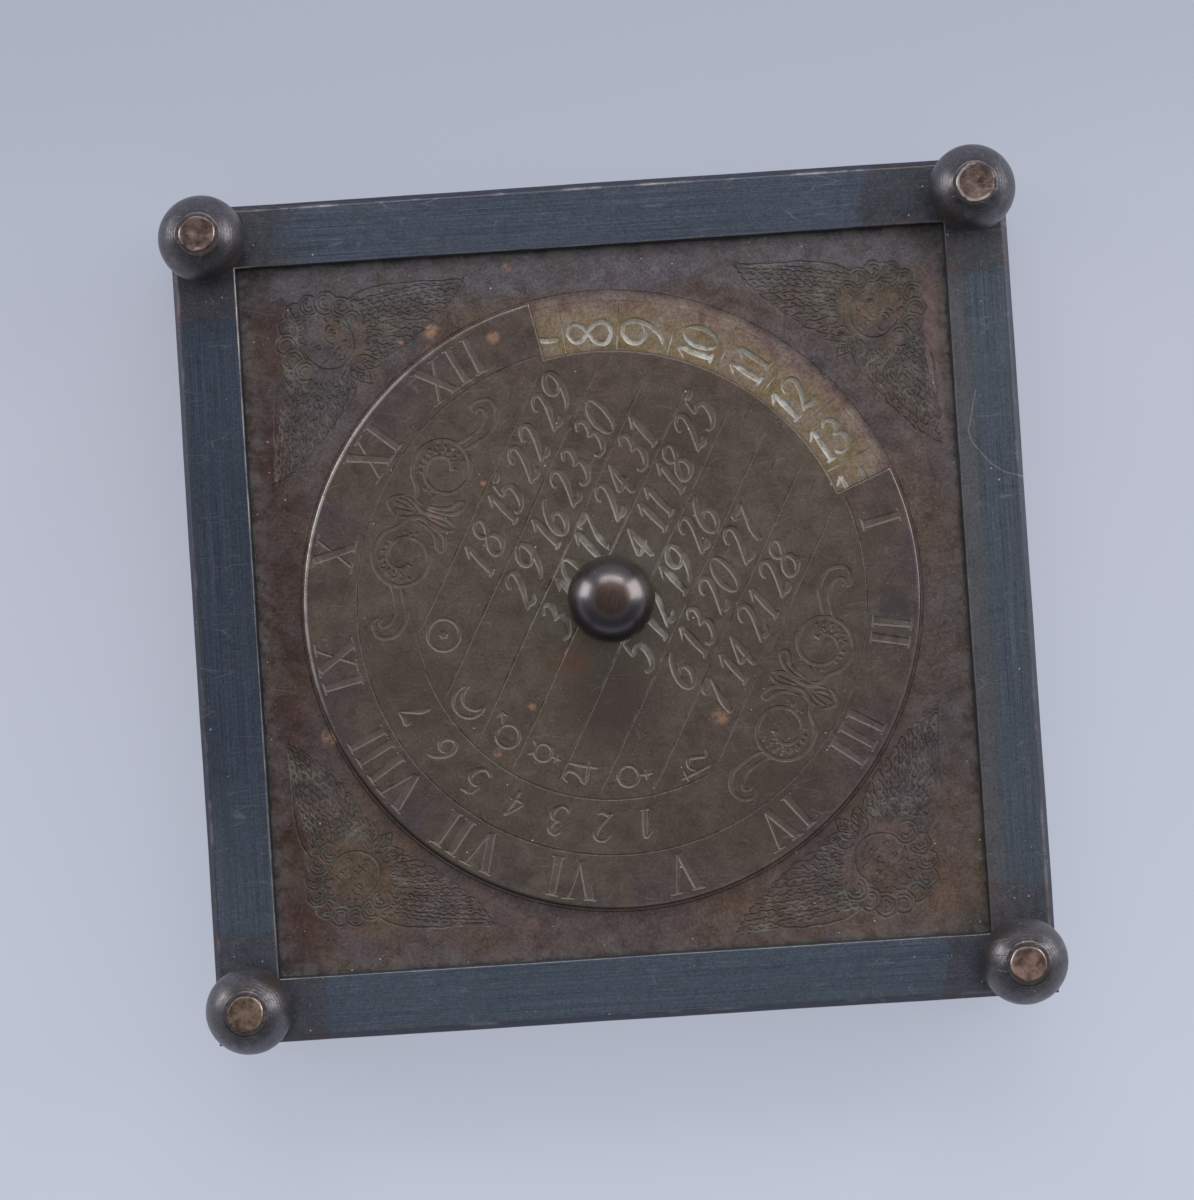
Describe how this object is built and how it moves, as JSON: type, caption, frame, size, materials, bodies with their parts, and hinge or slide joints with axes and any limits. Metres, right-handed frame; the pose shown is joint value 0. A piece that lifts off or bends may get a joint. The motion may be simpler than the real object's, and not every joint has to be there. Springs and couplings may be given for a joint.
{
  "type": "perpetual desk calendar",
  "caption": "Square metal perpetual calendar with a turning windowed disc and ball knob on each face, framed by flat strips and standing on turned corner balls.",
  "frame": {"origin": "centre of the square that the calendar's box covers, at the height of the rear pin ends that it stands on", "axes": "+Z out of the front face along the arbor, +Y towards the top of the front face, +X towards its right"},
  "size_m": [0.1014, 0.1014, 0.0253],
  "materials": {
    "patinated_plate": "dark red-brown patinated copper alloy, engraved, satin",
    "blued_steel": "blued steel, brushed lengthwise, worn at the edges",
    "browned_ball": "dark browned turned metal, soft sheen",
    "pin_metal": "brown copper-brass, mottled, bright worn rims",
    "aged_brass": "aged olive-brown brass, engraved, satin with rubbed spots",
    "polished_knob": "dark polished metal",
    "washer_brass": "plain dull brass"
  },
  "bodies": {
    "case": {"base_plate": "patinated_plate", "front_strip_top": "blued_steel", "front_strip_bottom": "blued_steel", "front_strip_left": "blued_steel", "front_strip_right": "blued_steel", "rear_strip_top": "blued_steel", "rear_strip_bottom": "blued_steel", "rear_strip_left": "blued_steel", "rear_strip_right": "blued_steel", "front_ball_upper_left": "browned_ball", "front_ball_upper_right": "browned_ball", "front_ball_lower_left": "browned_ball", "front_ball_lower_right": "browned_ball", "rear_ball_upper_left": "browned_ball", "rear_ball_upper_right": "browned_ball", "rear_ball_lower_left": "browned_ball", "rear_ball_lower_right": "browned_ball", "corner_pin_upper_left": "pin_metal", "corner_pin_upper_right": "pin_metal", "corner_pin_lower_left": "pin_metal", "corner_pin_lower_right": "pin_metal", "front_washer": "washer_brass", "rear_washer": "washer_brass"},
    "front_dial": {"front_disc": "aged_brass", "front_knob": "polished_knob", "arbor": "pin_metal"},
    "rear_dial": {"rear_disc": "aged_brass", "rear_knob": "polished_knob"}
  },
  "joints": [
    {"name": "front_dial_turn", "type": "hinge", "parent": "case", "child": "front_dial", "pos_m": [0, 0, 0.01265], "axis": [0, 0, 1], "continuous": true},
    {"name": "rear_dial_turn", "type": "hinge", "parent": "case", "child": "rear_dial", "pos_m": [0, 0, 0.01265], "axis": [0, 0, -1], "continuous": true}
  ]
}
